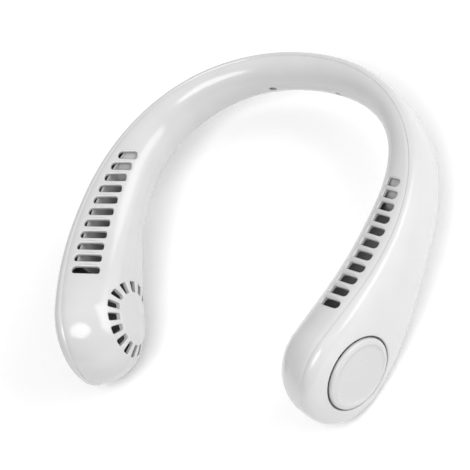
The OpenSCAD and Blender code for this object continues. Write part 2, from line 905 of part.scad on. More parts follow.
module left_duct_wall() on_left() right_duct_wall();
module duct_seals() color("dimgray") on_both() duct_seal();
module right_fan_frame() color("gainsboro") at_fan() fan_frame();
module left_fan_frame() on_left() right_fan_frame();
module right_bearing() color("goldenrod") at_fan() bearing();
module left_bearing() on_left() right_bearing();
module right_stator() color("slategray") at_fan() stator();
module left_stator() on_left() right_stator();
module right_motor_board() color("darkgreen") at_fan() motor_board();
module left_motor_board() on_left() right_motor_board();
module right_impeller() color("lightgray") at_fan() impeller();
module left_impeller() on_left() right_impeller();
module right_magnet() color("dimgray") at_fan() magnet();
module left_magnet() on_left() right_magnet();
module right_shaft() color("silver") at_fan() shaft();
module left_shaft() on_left() right_shaft();
module frame_screws() color("silver") on_both() at_fan() frame_screw_set();
module neck_screws() color("silver") on_both() at_neck_screw() neck_screw();
module right_battery() color("lightsteelblue") battery();
module left_battery() on_left() right_battery();
module battery_pads() color("dimgray") on_both() battery_pad();
module main_board() color("darkgreen") on_left() main_board_part();
module charging_port() color("silver") on_left() charging_port_part();
module push_switch() color("dimgray") on_left() push_switch_part();
module charge_lights() color("lemonchiffon") on_left() charge_lights_part();
module light_guide() color("aliceblue") on_left() light_guide_part();
module power_button() color("white") on_left() power_button_part();

module wiring() {
    color("black") {
        trunk(wire_start_share, wire_end_share, wire_steps);
        trunk(-board_share - (board_l / 2 + fit_gap) / half_run, -wire_end_share, 6);
    }
}

outer_shell();
inner_shell();
left_cap();
right_cap();
left_duct_wall();
right_duct_wall();
duct_seals();
left_fan_frame();
right_fan_frame();
left_bearing();
right_bearing();
left_stator();
right_stator();
left_motor_board();
right_motor_board();
left_impeller();
right_impeller();
left_magnet();
right_magnet();
left_shaft();
right_shaft();
frame_screws();
neck_screws();
left_battery();
right_battery();
battery_pads();
main_board();
charging_port();
push_switch();
charge_lights();
light_guide();
power_button();
wiring();
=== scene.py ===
import math

import bmesh
import bpy
from mathutils import Matrix, Vector
from mathutils.bvhtree import BVHTree


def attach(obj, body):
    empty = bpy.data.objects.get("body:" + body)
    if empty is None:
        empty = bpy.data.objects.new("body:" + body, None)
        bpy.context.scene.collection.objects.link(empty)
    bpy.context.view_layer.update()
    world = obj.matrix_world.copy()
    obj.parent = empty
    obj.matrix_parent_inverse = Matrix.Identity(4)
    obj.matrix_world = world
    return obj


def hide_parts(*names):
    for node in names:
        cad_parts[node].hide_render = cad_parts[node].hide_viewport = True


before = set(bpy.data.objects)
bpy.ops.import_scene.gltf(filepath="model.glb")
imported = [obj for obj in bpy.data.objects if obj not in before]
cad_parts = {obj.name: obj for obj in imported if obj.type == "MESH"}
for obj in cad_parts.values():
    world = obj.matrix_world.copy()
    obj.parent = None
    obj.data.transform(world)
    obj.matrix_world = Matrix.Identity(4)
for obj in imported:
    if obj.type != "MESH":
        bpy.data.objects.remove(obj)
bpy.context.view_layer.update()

MM = 0.001

# ---------------------------------------------------------------- camera

# The lens looks down at the front right of the fan, from well above the right pod
CAMERA_PLACE = (0.65593, -0.42040, 1.002586)
CAMERA_RIGHT = (0.8398, 0.3163, -0.4412)
CAMERA_UP = (-0.1003, 0.8892, 0.4464)
CAMERA_BACK = (0.5335, -0.3306, 0.7785)
CAMERA_LENS, CAMERA_SENSOR, CAMERA_NEAR = 184.35, 36, 0.05

camera = bpy.data.objects.new("camera", bpy.data.cameras.new("camera"))
bpy.context.scene.collection.objects.link(camera)
camera.matrix_world = Matrix.Translation(CAMERA_PLACE) @ Matrix(
    (CAMERA_RIGHT, CAMERA_UP, CAMERA_BACK)
).transposed().to_4x4()
camera.data.lens = CAMERA_LENS
camera.data.sensor_width = CAMERA_SENSOR
camera.data.clip_start = CAMERA_NEAR
bpy.context.scene.camera = camera

# ---------------------------------------------------------------- form of the housing, in mm

OVERALL_W, OVERALL_L, POD_H, WALL = 199, 198, 60.7, 2
# Shares of an arm's run from the back of the neck, and the sizes at each of them: depth of the
# inner and of the outer shell from the parting plane, half height, and rise of the middle
STATIONS = (0, 0.3, 0.6, 0.9)
IN_DEPTHS = (12.3, 12, 25, 29.2)
OUT_DEPTHS = (4.9, 5.6, 6.8, 10.4)
HALF_HEIGHTS = (12.7, 15.4, 17.1, 30.35)
RISES = (-1.026, 0.81, 5.4, 0)
# The outer side leans, so it swells past its depth by this share
SIDE_SWELL = 0.04
SPINE_SIDE = OVERALL_W / 2 - OUT_DEPTHS[2] * (1 + SIDE_SWELL)
SPINE_BACK = OVERALL_L / 2 - OUT_DEPTHS[0]
# The centre line's two curves on each side, in shares of SPINE_SIDE and of the length
BACK_BEND = ((0, 1), (0.545, 1), (1, 0.605), (1, -0.015))
FRONT_BEND = ((1, -0.015), (1, -0.415), (0.82, -0.715), (0.73, -0.998))
BEND_STEPS, PROBE = 300, 0.006
# Past TIP the pod closes to its rounded front, along curves of these powers
TIP = 0.88
UP_POWER, IN_POWER, OUT_POWER = 2, 2.25, 2.35
# The half sections are superellipses, squarer outside than inside, and both lean a little
OUT_SQUARE, IN_SQUARE, OUT_LEAN, IN_LEAN = 2.7, 2, -0.11, 0.04


def bend(shares):
    """Points along one curve of the centre line."""
    corners = [
        Vector((x * SPINE_SIDE, y * (SPINE_BACK if y > 0 else OVERALL_L / 2))) for x, y in shares
    ]
    points = []
    for k in range(BEND_STEPS + 1):
        t = k / BEND_STEPS
        weights = ((1 - t) ** 3, 3 * t * (1 - t) ** 2, 3 * t * t * (1 - t), t**3)
        points.append(sum((w * c for w, c in zip(weights, corners)), Vector((0, 0))))
    return points


TRACK = bend(BACK_BEND) + bend(FRONT_BEND)[1:]
RUNS = [0.0]
for here, ahead in zip(TRACK, TRACK[1:]):
    RUNS.append(RUNS[-1] + (ahead - here).length)


def spine(s):
    """The parting plane's centre line: s is 0 at the back of the neck, and 1 and -1 at the
    pods' fronts."""
    run = min(abs(s), 1) * RUNS[-1]
    low, high = 0, len(RUNS) - 1
    while high - low > 1:
        middle = (low + high) // 2
        low, high = (middle, high) if RUNS[middle] <= run else (low, middle)
    point = TRACK[low].lerp(TRACK[high], (run - RUNS[low]) / (RUNS[high] - RUNS[low]))
    return Vector((math.copysign(point.x, s), point.y))


def outward(s):
    """Level direction that faces out of the housing, square to the centre line."""
    ahead = spine(min(1, s + PROBE)) - spine(max(-1, s - PROBE))
    return Vector((-ahead.y, ahead.x)).normalized()


def between(u, values):
    """A size that changes smoothly along the arm, through its four stations."""
    k = 0 if u < STATIONS[1] else 1 if u < STATIONS[2] else 2
    gap = STATIONS[k + 1] - STATIONS[k]
    t = min(1, (u - STATIONS[k]) / gap)

    def slope(i):
        if i in (0, len(STATIONS) - 1):
            return 0
        return (values[i + 1] - values[i - 1]) / (STATIONS[i + 1] - STATIONS[i - 1])

    return (
        (1 + 2 * t) * (1 - t) ** 2 * values[k]
        + t * (1 - t) ** 2 * gap * slope(k)
        + t * t * (3 - 2 * t) * values[k + 1]
        + t * t * (t - 1) * gap * slope(k + 1)
    )


def closing(u, inset, power):
    """Past TIP the pod rounds off to its front."""
    past = max(0, (u - TIP) / (1 - TIP - inset / RUNS[-1]))
    return max(0, 1 - past**power) ** (1 / power)


# Shares along the pod at which its tallest and its lowest place are looked for
POD_PROBES = [0.8 + k / 500 for k in range(76)]
TALLEST = max(between(u, HALF_HEIGHTS) * closing(u, 0, UP_POWER) for u in POD_PROBES) / (POD_H / 2)


def half_height(u, inset=0):
    return (between(u, HALF_HEIGHTS) / TALLEST - inset) * closing(u, inset, UP_POWER)


MID_Z = max(half_height(u) - between(u, RISES) for u in POD_PROBES)


def skin(s, side, turn, inset=0):
    """A point of the housing's outside, or of a skin that lies inset below it. side is 1 on the
    outer shell and -1 on the inner one, and turn goes from -90 at the lower parting line to 90
    at the upper one."""
    u = abs(s)
    up = math.sin(math.radians(turn))
    if side > 0:
        depth = (between(u, OUT_DEPTHS) - inset) * closing(u, inset, OUT_POWER)
        reach = depth * (1 - abs(up) ** OUT_SQUARE) ** (1 / OUT_SQUARE) * (1 + OUT_LEAN * up)
    else:
        depth = (between(u, IN_DEPTHS) - inset) * closing(u, inset, IN_POWER)
        reach = -depth * (1 - abs(up) ** IN_SQUARE) ** (1 / IN_SQUARE) * (1 + IN_LEAN * up)
    level = spine(s) + outward(s) * reach
    return Vector((level.x, level.y, MID_Z + between(u, RISES) + half_height(u, inset) * up))


# ---------------------------------------------------------------- mesh helpers

SHARP_DEG = 32


def ring_edges(ring):
    """The edges that join one ring of vertices."""
    there = set(ring)
    return list({e for vert in ring for e in vert.link_edges if e.other_vert(vert) in there})


def place_ring(ring, points):
    for vert, point in zip(ring, points):
        vert.co = point


def draw_out(bm, ring, points, material=0):
    """Extrudes a ring or a row of vertices to its next place, and returns the new one."""
    made = bmesh.ops.extrude_edge_only(bm, edges=ring_edges(ring))["geom"]
    fresh = {item for item in made if isinstance(item, bmesh.types.BMVert)}
    for item in made:
        if isinstance(item, bmesh.types.BMFace):
            item.material_index = material
    ahead = [
        next(e.other_vert(vert) for e in vert.link_edges if e.other_vert(vert) in fresh)
        for vert in ring
    ]
    place_ring(ahead, points)
    return ahead


def tube(bm, rings, last=0):
    """A closed solid through rings of points. Its last stretch can have a material of its own."""
    ring = bmesh.ops.create_circle(bm, segments=len(rings[0]), radius=1)["verts"]
    place_ring(ring, rings[0])
    ends = [ring_edges(ring)]
    for points in rings[1:]:
        ring = draw_out(bm, ring, points, last if points is rings[-1] else 0)
    ends.append(ring_edges(ring))
    for end in ends:
        bmesh.ops.contextual_create(bm, geom=end)


def finish_mesh(bm, name, body, materials, sharp=SHARP_DEG):
    """Turns a mesh in millimetres into a piece of the object, in metres."""
    bmesh.ops.scale(bm, vec=(MM,) * 3, verts=bm.verts)
    mesh = bpy.data.meshes.new(name)
    bm.to_mesh(mesh)
    bm.free()
    for material in materials:
        mesh.materials.append(material)
    mesh.shade_smooth()
    mesh.set_sharp_from_angle(angle=math.radians(sharp))
    piece = bpy.data.objects.new(name, mesh)
    bpy.context.scene.collection.objects.link(piece)
    if body:
        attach(piece, body)
    return piece


def mirrored(bm):
    """Adds the same forms on the other side of the YZ plane."""
    copied = bmesh.ops.duplicate(bm, geom=bm.verts[:] + bm.edges[:] + bm.faces[:])["geom"]
    verts = [item for item in copied if isinstance(item, bmesh.types.BMVert)]
    faces = [item for item in copied if isinstance(item, bmesh.types.BMFace)]
    bmesh.ops.scale(bm, vec=(-1, 1, 1), verts=verts)
    bmesh.ops.reverse_faces(bm, faces=faces)


def turned(profile, place, steps=96):
    """A round form from its half profile of (radius, height)."""
    bm = bmesh.new()
    row = [bm.verts.new((r, 0, z)) for r, z in profile]
    for a, b in zip(row, row[1:]):
        bm.edges.new((a, b))
    bmesh.ops.spin(
        bm, geom=bm.verts[:] + bm.edges[:], cent=(0, 0, 0), axis=(0, 0, 1),
        angle=2 * math.pi, steps=steps, use_merge=True,
    )
    bmesh.ops.remove_doubles(bm, verts=bm.verts, dist=0.001)
    bmesh.ops.transform(bm, matrix=place, verts=bm.verts)
    return bm


# ---------------------------------------------------------------- the two shells

ARM_STEPS, TIP_STEPS, TURN_STEPS, WALL_STEPS = 190, 26, 44, 16
# Along the parting line both shells are drawn in, over so many degrees, to a fine groove
SEAM_TURN, SEAM_DEPTH = 2.2, 0.32


def stations(inset):
    """Shares of the run for the sections, closer together towards the pods' rounded fronts."""
    reach = 1 - TIP - inset / RUNS[-1]
    turns = [math.radians(90 * k / TIP_STEPS) for k in range(1, TIP_STEPS + 1)]
    tips = [TIP + reach * math.sin(turn) for turn in turns]
    middle = [TIP * k / ARM_STEPS for k in range(-ARM_STEPS, ARM_STEPS + 1)]
    return [-s for s in reversed(tips)] + middle + tips


def section(s, side, inset):
    """One half section. On the outside its edges are drawn in at the parting line."""
    if inset:
        turns = [90 * (2 * k / WALL_STEPS - 1) for k in range(WALL_STEPS + 1)]
        return [skin(s, side, turn, inset) for turn in turns]
    turns = [(90 - SEAM_TURN) * (2 * k / TURN_STEPS - 1) for k in range(TURN_STEPS + 1)]
    row = [skin(s, side, turn) for turn in turns]
    past = max(0, abs(s) - TIP) / (1 - TIP)
    drawn = math.copysign(abs(s) - past * SEAM_DEPTH / RUNS[-1], s)
    return [skin(drawn, side, -90, SEAM_DEPTH)] + row + [skin(drawn, side, 90, SEAM_DEPTH)]


def add_sheet(bm, side, inset, material=0):
    """A sheet through the half sections, closed to a point at each pod's front."""
    rows = [section(s, side, inset) for s in stations(inset)]
    row = bmesh.ops.create_circle(bm, segments=len(rows[0]), radius=1)["verts"]
    place_ring(row, rows[0])
    spare = next(e for e in row[0].link_edges if e.other_vert(row[0]) is row[-1])
    bmesh.ops.delete(bm, geom=[spare], context="EDGES_FACES")
    ends = [row]
    for points in rows[1:]:
        row = draw_out(bm, row, points, material)
    ends.append(row)
    for end, s in zip(ends, (-1, 1)):
        tip = skin(s * (1 - inset / RUNS[-1]), side, 0, inset)
        bmesh.ops.pointmerge(bm, verts=end, merge_co=tip)


def shell_solid(side):
    """One shell with its wall, before its openings are cut."""
    bm = bmesh.new()
    add_sheet(bm, side, 0)
    outer_rim = [edge for edge in bm.edges if edge.is_boundary]
    known = set(outer_rim)
    # The inner sheet takes the second material, the inside grey that paints shade
    add_sheet(bm, side, WALL, material=1)
    inner_rim = [edge for edge in bm.edges if edge.is_boundary and edge not in known]
    bmesh.ops.bridge_loops(bm, edges=outer_rim + inner_rim)
    bmesh.ops.recalc_face_normals(bm, faces=bm.faces)
    open_edges = sum(1 for edge in bm.edges if not edge.is_manifold)
    if open_edges or bm.calc_volume(signed=True) < 0:
        raise ValueError(f"the shell on side {side} isn't closed: {open_edges} edges")
    return bm


def outside_tree():
    """The outside of both shells, for finding the places of the openings on it."""
    bm = bmesh.new()
    add_sheet(bm, 1, 0)
    add_sheet(bm, -1, 0)
    tree = BVHTree.FromBMesh(bm)
    bm.free()
    return tree


def cut_piece(bm, cutters, name, materials, least, careful=False):
    """A piece of the housing with its openings cut. At least so many faces have to be left."""
    piece = finish_mesh(bm, name, None, materials)
    bmesh.ops.recalc_face_normals(cutters, faces=cutters.faces)
    plug = finish_mesh(cutters, name + "_cutters", None, materials)
    cut = piece.modifiers.new("openings", "BOOLEAN")
    cut.object, cut.solver, cut.operation, cut.use_self = plug, "EXACT", "DIFFERENCE", careful
    seen = piece.evaluated_get(bpy.context.evaluated_depsgraph_get())
    mesh = bpy.data.meshes.new_from_object(seen)
    if len(mesh.polygons) < least:
        raise ValueError(f"the openings of {name} left {len(mesh.polygons)} faces")
    piece.modifiers.clear()
    piece.data = mesh
    bpy.data.objects.remove(plug)
    mesh.shade_smooth()
    mesh.set_sharp_from_angle(angle=math.radians(SHARP_DEG))
    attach(piece, "housing")
    return piece


# ---------------------------------------------------------------- places on the housing

CAP_SHARE, BOARD_SHARE = 0.877, 0.62


def frame_at(origin, z_axis, y_axis):
    """A place on the housing with Z facing out of it."""
    z = Vector(z_axis).normalized()
    x = Vector(y_axis).cross(z).normalized()
    turn = Matrix((x, z.cross(x), z)).transposed().to_4x4()
    return Matrix.Translation(origin) @ turn


def cap_place():
    """The middle of the right cap: X down, Y back along the arm, Z out of the pod."""
    out = outward(CAP_SHARE)
    return frame_at(skin(CAP_SHARE, 1, 0), (out.x, out.y, 0), (-out.y, out.x, 0))


def flip_side(place):
    return Matrix.Scale(-1, 4, (1, 0, 0)) @ place


def arm_place(s, x, y, z):
    """A point in the level frame at a share of the arm: x out, y back, z up."""
    out = outward(abs(s))
    here = spine(abs(s))
    point = Vector((
        here.x + out.x * x - out.y * y,
        here.y + out.y * x + out.x * y,
        MID_Z + between(abs(s), RISES) + z,
    ))
    if s < 0:
        point.x = -point.x
    return point


def left_side_place(y, z):
    """A place on the outer side of the left arm, beside the main board."""
    out = outward(-BOARD_SHARE)
    return frame_at(arm_place(-BOARD_SHARE, 0, y, z), (out.x, out.y, 0), (-out.y, out.x, 0))


# ---------------------------------------------------------------- openings

# Rays that look for the skin start this far over it, and go so far
RAY_ABOVE, RAY_LENGTH = 40, 90
# A plug's rim lies this far over the skin, so that no two faces are in one plane. Above the rim
# the plug flares by so much, and then goes up clear of the housing's curve.
OVER, FLARE, FLARE_UP, PLUG_UP = 0.012, 0.5, 0.7, 4


def rounded_outline(corners, radii, steps=6):
    """A polygon's outline with rounded corners, as points with the way out of the outline."""
    outline = []
    count = len(corners)
    for k, radius in enumerate(radii):
        before, here, after = (Vector(corners[(k + d) % count]) for d in (-1, 0, 1))
        a, b = (before - here).normalized(), (after - here).normalized()
        half = a.angle(b) / 2
        centre = here + (a + b).normalized() * (radius / math.sin(half))
        start = here + a * (radius / math.tan(half)) - centre
        end = here + b * (radius / math.tan(half)) - centre
        for j in range(steps + 1):
            way = start.slerp(end, j / steps).normalized()
            outline.append((centre + way * radius, way))
    return outline


def round_outline(radius, steps):
    turns = [2 * math.pi * k / steps for k in range(steps)]
    ways = [Vector((math.cos(a), math.sin(a))) for a in turns]
    return [(way * radius, way) for way in ways]


def on_sheet(tree, place, x, y):
    """Where a line along the frame's Z meets the outside, and the surface's normal there."""
    inward = place.to_3x3() @ Vector((0, 0, -1))
    start = place @ Vector((x, y, RAY_ABOVE))
    point, normal, _, _ = tree.ray_cast(start, inward, RAY_LENGTH)
    if point is None:
        raise ValueError(f"no surface at {x:.2f}, {y:.2f}")
    return point, normal if normal.dot(inward) < 0 else -normal


def opening(bm, tree, place, outline, rim, deep, lip=4):
    """A plug that cuts an opening with a rounded rim of that radius, and straight walls."""
    quarter = [math.pi / 2 * k / lip for k in range(lip + 1)]
    tops = [(rim + FLARE, FLARE_UP)]
    tops += [(rim * (1 - math.sin(a)), OVER - rim * (1 - math.cos(a))) for a in quarter]
    rings = []
    for grow, height in tops:
        ring = []
        for point, way in outline:
            hit, normal = on_sheet(tree, place, *(point + way * grow))
            ring.append(hit + normal * height)
        rings.append(ring)
    up = place.to_3x3() @ Vector((0, 0, PLUG_UP))
    rings.insert(0, [point + up for point in rings[0]])
    inward = place.to_3x3() @ Vector((0, 0, -1))
    rings.append([edge + inward * deep for edge in rings[-1]])
    # The plug's walls take the second material, the inside grey that paints shade on the openings'
    # walls
    tube(bm, rings, 1)


SLOT_COUNT, SLOT_FIRST, SLOT_LAST = 11, 0.486, 0.798
# The first slot lies at this turn round the section, and the last one so much further up
SLOT_TURN, SLOT_CLIMB = 65, 3
# Length as a share of the arm's inner depth, width, and heading as seen from above
SLOT_SHARE, SLOT_W, SLOT_HEADING = 0.52, 4.3, -16
# Corner radii of an air slot: the end towards the seam is rounder than the one at the neck
SLOT_CORNERS = (1.3, 2.0, 2.1, 1.3)


def air_slot(k):
    """A slot's place and its length. They lie at one heading, though the arm turns under them."""
    q = k / (SLOT_COUNT - 1)
    u = SLOT_FIRST + (SLOT_LAST - SLOT_FIRST) * q
    turn = SLOT_TURN + SLOT_CLIMB * q
    across = skin(u, -1, turn + 1) - skin(u, -1, turn - 1)
    along = skin(u - 0.004, -1, turn) - skin(u + 0.004, -1, turn)
    heading = math.radians(SLOT_HEADING)
    ahead = (-math.sin(heading), math.cos(heading), 0)
    place = frame_at(skin(u, -1, turn), across.cross(along), ahead)
    return place, SLOT_SHARE * between(u, IN_DEPTHS)


GRILLE_COUNT, GRILLE_FIRST, GRILLE_IN, GRILLE_OUT = 16, 4, 14, 19.8
# Width of a grille slot at the ring's rim, and half its width at the inner end as a share of it
GRILLE_W, GRILLE_NEAR, GRILLE_CORNER = 4.4, 0.37, 0.8
# The fan's axis lies this far up and forward of the cap's
FAN_UP, FAN_FORWARD = 0.6, 1.2


def grille_place():
    """The grille has the fan's axis, and lies on the pod's inner face."""
    out = outward(CAP_SHARE)
    origin = cap_place() @ Vector((-FAN_UP, -FAN_FORWARD, -OUT_DEPTHS[-1] - IN_DEPTHS[-1]))
    return frame_at(origin, (-out.x, -out.y, 0), (-out.y, out.x, 0))


# Share of the run, level and radius of the two screw wells at the back of the neck
WELL_SHARE, WELL_Z, WELL_R = 0.093, -1.6, 2


def inner_openings(tree):
    """Air slots, grilles, screw wells and the port's opening, as plugs for the inner shell."""
    bm = bmesh.new()
    for k in range(SLOT_COUNT):
        place, length = air_slot(k)
        x, y = length / 2, SLOT_W / 2
        outline = rounded_outline([(-x, -y), (x, -y), (x, y), (-x, y)], SLOT_CORNERS)
        opening(bm, tree, place, outline, rim=0.75, deep=7)
    place = grille_place()
    for k in range(GRILLE_COUNT):
        turn = Matrix.Rotation(math.radians(GRILLE_FIRST + 360 * k / GRILLE_COUNT), 2)
        near, far = GRILLE_NEAR * GRILLE_W, GRILLE_W / 2
        corners = [(GRILLE_IN, -near), (GRILLE_OUT, -far), (GRILLE_OUT, far), (GRILLE_IN, near)]
        outline = rounded_outline([turn @ Vector(c) for c in corners], [GRILLE_CORNER] * 4)
        opening(bm, tree, place, outline, rim=0.45, deep=7)
    out = outward(WELL_SHARE)
    well = frame_at(
        arm_place(WELL_SHARE, 0, 0, WELL_Z), (-out.x, -out.y, 0), (-out.y, out.x, 0)
    )
    opening(bm, tree, well, round_outline(WELL_R, 32), rim=0.3, deep=4)
    mirrored(bm)
    port_cut(bm)
    return bm


# The caps are a little smaller than the CAD ones, and stand in their seats with a gap round
# them. Their back and the seat's floor lie this far from the pod's face.
CAP_R, CAP_GAP, CAP_BACK, SEAT_DEPTH = 19.4, 0.95, -2.6, 4.2
# Level, radius and gap of the button and of the charge lights below it
BUTTON_Z, BUTTON_R, BUTTON_GAP = 4, 4, 0.15
LIGHT_COUNT, LIGHT_Z, LIGHT_R, LIGHT_GAP, LIGHT_PITCH = 4, -6.5, 0.8, 0.08, 5


def outer_openings(tree):
    """Openings for the caps, the button, the charge lights and the port, as plugs for the
    outer shell."""
    bm = bmesh.new()
    opening(bm, tree, cap_place(), round_outline(CAP_R + CAP_GAP, 128), rim=0.7, deep=6, lip=5)
    mirrored(bm)
    button = round_outline(BUTTON_R + BUTTON_GAP, 48)
    opening(bm, tree, left_side_place(0, BUTTON_Z), button, rim=0.25, deep=5)
    light = round_outline(LIGHT_R + LIGHT_GAP, 16)
    for k in range(LIGHT_COUNT):
        place = left_side_place((k - (LIGHT_COUNT - 1) / 2) * LIGHT_PITCH, LIGHT_Z)
        opening(bm, tree, place, light, rim=0.12, deep=5, lip=2)
    port_cut(bm)
    return bm


# The port's width, height and place beside the board, and the level of its outer end
PORT_W, PORT_H, PORT_X, PORT_Y, PORT_LOW = 8.9, 3.2, -4.2, 9, -17.5648
# Heights over that end, and how much wider than the port its opening is at each
PORT_STEPS = ((-3, 1.2), (-0.1, 0.7), (0.35, 0.3), (8, 0.3))


def port_cut(bm):
    """The port's opening in the underside of the left arm."""
    rings = []
    for z, grow in PORT_STEPS:
        r = PORT_H / 2 + grow
        ring = []
        for a in (2 * math.pi * k / 48 for k in range(48)):
            x = PORT_X + PORT_H / 2 + math.cos(a) * r
            y = math.sin(a) * r + math.copysign((PORT_W - PORT_H) / 2, math.sin(a))
            ring.append(arm_place(-BOARD_SHARE, x, PORT_Y + y, PORT_LOW + z))
        rings.append(ring)
    tube(bm, rings)


# ---------------------------------------------------------------- caps and their seats

# Width of the cap's raised rim, how far it is raised, and the rounding of its outer edge
CAP_RIM_W, CAP_LIFT, CAP_SOFT, CAP_DROP = 3.2, 0.3, 1.6, 1.5
# The legs reach so far into the cap
LEG_COUNT, LEG_CIRCLE_R, LEG_R, LEG_INTO = 3, 14, 2, 0.2
# The seat's vents run out from its middle, and their cuts go from one height to the other
VENT_COUNT, VENT_FIRST, VENT_IN, VENT_OUT, VENT_HALF_W, VENT_CORNER = 9, 20, 7.5, 18.7, 1.5, 1.49
VENT_LOW, VENT_HIGH = -7.5, -3.5
# Level of the seat's rim, and thickness of its floor and of its wall
SEAT_RIM_Z, SEAT_T, SEAT_WALL = -3.2, 2, 1.6


def cap_profile():
    """Cap with a level face inside a low raised rim, from the middle of its face to the middle
    of its back."""
    face_r, edge = CAP_R - CAP_RIM_W, CAP_R - CAP_SOFT
    face = [(face_r * k / 8, 0) for k in range(9)]
    rim = [(face_r + 0.15, CAP_LIFT * 0.5), (face_r + 0.4, CAP_LIFT), (edge - 0.4, CAP_LIFT * 0.7)]
    rim += [
        (edge + CAP_SOFT * math.sin(a), -CAP_DROP * (1 - math.cos(a)))
        for a in (math.radians(d) for d in range(0, 91, 9))
    ]
    return face + rim + [(CAP_R, CAP_BACK + 0.3), (CAP_R - 0.3, CAP_BACK), (0, CAP_BACK)]


def seat_profile():
    """The dished seat behind the cap, from its rim to the middle of its floor and back."""
    r, floor_z = CAP_R + CAP_GAP, -SEAT_DEPTH
    face = [(r, SEAT_RIM_Z), (r, floor_z), (0, floor_z)]
    back = [(0, floor_z - SEAT_T), (r + SEAT_WALL, floor_z - SEAT_T), (r + SEAT_WALL, SEAT_RIM_Z)]
    return face + back + face[:1]


def around(count, radius, first=0):
    """Places round the cap's middle."""
    for k in range(count):
        turn = Matrix.Rotation(math.radians(first + 360 * k / count), 4, "Z")
        yield turn @ Matrix.Translation((radius, 0, 0))


def add_legs(bm, place):
    """The cap stands on three short legs in its seat, so that air gets in behind it."""
    top, foot = CAP_BACK + LEG_INTO, -SEAT_DEPTH
    middle = Matrix.Translation((0, 0, (top + foot) / 2))
    for leg in around(LEG_COUNT, LEG_CIRCLE_R):
        bmesh.ops.create_cone(
            bm, cap_ends=True, segments=24, radius1=LEG_R, radius2=LEG_R, depth=top - foot,
            matrix=place @ leg @ middle,
        )


def seat_vents(place):
    """Slots that let the air through the seat to the fan."""
    bm = bmesh.new()
    near, far, half = VENT_IN, VENT_OUT, VENT_HALF_W
    outline = rounded_outline(
        [(near, -half), (far, -half), (far, half), (near, half)], [VENT_CORNER] * 4
    )
    for vent in around(VENT_COUNT, 0, VENT_FIRST):
        spot = place @ vent
        rings = [
            [spot @ Vector((point.x, point.y, z)) for point, _ in outline]
            for z in (VENT_LOW, VENT_HIGH)
        ]
        tube(bm, rings)
    return bm


# ---------------------------------------------------------------- materials


def linear(code):
    """A colour from its sRGB hex code."""
    parts = [int(code[k : k + 2], 16) / 255 for k in (1, 3, 5)]
    rgb = [p / 12.92 if p <= 0.04045 else ((p + 0.055) / 1.055) ** 2.4 for p in parts]
    return (*rgb, 1.0)


def add(tree, kind, inputs=None, **settings):
    """One node, with its settings and with its inputs set or linked."""
    node = tree.nodes.new("ShaderNode" + kind)
    for name, value in settings.items():
        setattr(node, name, value)
    for name, value in (inputs or {}).items():
        if isinstance(value, bpy.types.NodeSocket):
            tree.links.new(value, node.inputs[name])
        else:
            node.inputs[name].default_value = value
    return node


def new_material(name, **shader):
    material = bpy.data.materials.new(name)
    material.use_nodes = True
    tree = material.node_tree
    surface = tree.nodes["Principled BSDF"]
    for socket, value in shader.items():
        surface.inputs[socket.replace("_", " ")].default_value = value
    return material, tree, surface


def grain(tree, cell, detail):
    """Even, fine noise on the piece's own coordinates, with cells of so many millimetres."""
    spot = add(tree, "TexCoord").outputs["Object"]
    return add(tree, "TexNoise", {"Vector": spot, "Scale": 1 / (cell * MM), "Detail": detail})


def tinted(tree, surface, noise, low, high):
    """Colour that drifts between two near shades."""
    ramp = add(tree, "ValToRGB", {"Fac": noise.outputs["Fac"]})
    for element, place, code in zip(ramp.color_ramp.elements, (0.35, 0.65), (low, high)):
        element.position, element.color = place, linear(code)
    tree.links.new(ramp.outputs["Color"], surface.inputs["Base Color"])


def roughened(tree, surface, noise, low, high):
    """Roughness that drifts between two values."""
    spread = {"From Min": 0.3, "From Max": 0.7, "To Min": low, "To Max": high}
    span = add(tree, "MapRange", {"Value": noise.outputs["Fac"], **spread})
    tree.links.new(span.outputs["Result"], surface.inputs["Roughness"])


def bumped(tree, surface, noise, relief):
    """Relief of so many millimetres."""
    height = {"Height": noise.outputs[0], "Distance": relief * MM, "Strength": 1.0}
    bump = add(tree, "Bump", height)
    tree.links.new(bump.outputs["Normal"], surface.inputs["Normal"])


def finish(name, low, high, cell, rough, relief=0.0, detail=2.0, **shader):
    """A finish of one substance: its shades, the size of its grain, its sheen and its relief."""
    material, tree, surface = new_material(name, **shader)
    noise = grain(tree, cell, detail)
    tinted(tree, surface, noise, low, high)
    roughened(tree, surface, noise, *rough)
    if relief:
        bumped(tree, surface, noise, relief)
    return material


# White ABS from a polished mould: a clear, slightly soft gloss, with a faint slow ripple
# from the melt's flow and no grain
GLOSS_ABS = finish(
    "white ABS, polished mould", "#C3C3C3", "#C5C5C5", 14, (0.13, 0.17), 0.004, 1.0, IOR=1.53
)
# The same ABS inside the shells and on the openings' walls, where the mould is left as milled:
# rougher, and painted a darker grey as shade
SHADED_INSIDE_ABS = finish(
    "white ABS, milled mould, painted shade", "#A6A6A6", "#AEAEAE", 0.8, (0.5, 0.6), 0.01, IOR=1.53
)
# Cap in the same ABS, polished a little less, so its face stays calm. Its grey is a shade darker
# than the shell's: painted shade on the pods' outer faces
SHADED_CAP_ABS = finish("white ABS, satin mould, painted shade", "#BEBEBE", "#BFBFBF", 0.3, (0.25, 0.28), IOR=1.53)
# Grey ABS duct and frame parts: dull, with the fine spark-eroded grain of a hidden part
DUCT_ABS = finish(
    "grey ABS, spark-eroded mould", "#A2A2A2", "#AAAAAA", 0.4, (0.55, 0.7), 0.02, IOR=1.53
)
# Impeller nylon: darker, slightly waxy
FAN_NYLON = finish("grey nylon, moulded", "#4A4B4D", "#535456", 0.7, (0.4, 0.5), 0.008, IOR=1.52)
# Closed-cell foam: black, dull and pocked
FOAM = finish("EVA foam, cut", "#1B1B1C", "#2A2A2B", 0.35, (0.85, 0.95), 0.08)
# Sintered bronze bearing: dull gold with open pores
BRONZE = finish("sintered bronze", "#A67C3C", "#C0934F", 0.25, (0.4, 0.55), 0.01, Metallic=1.0)
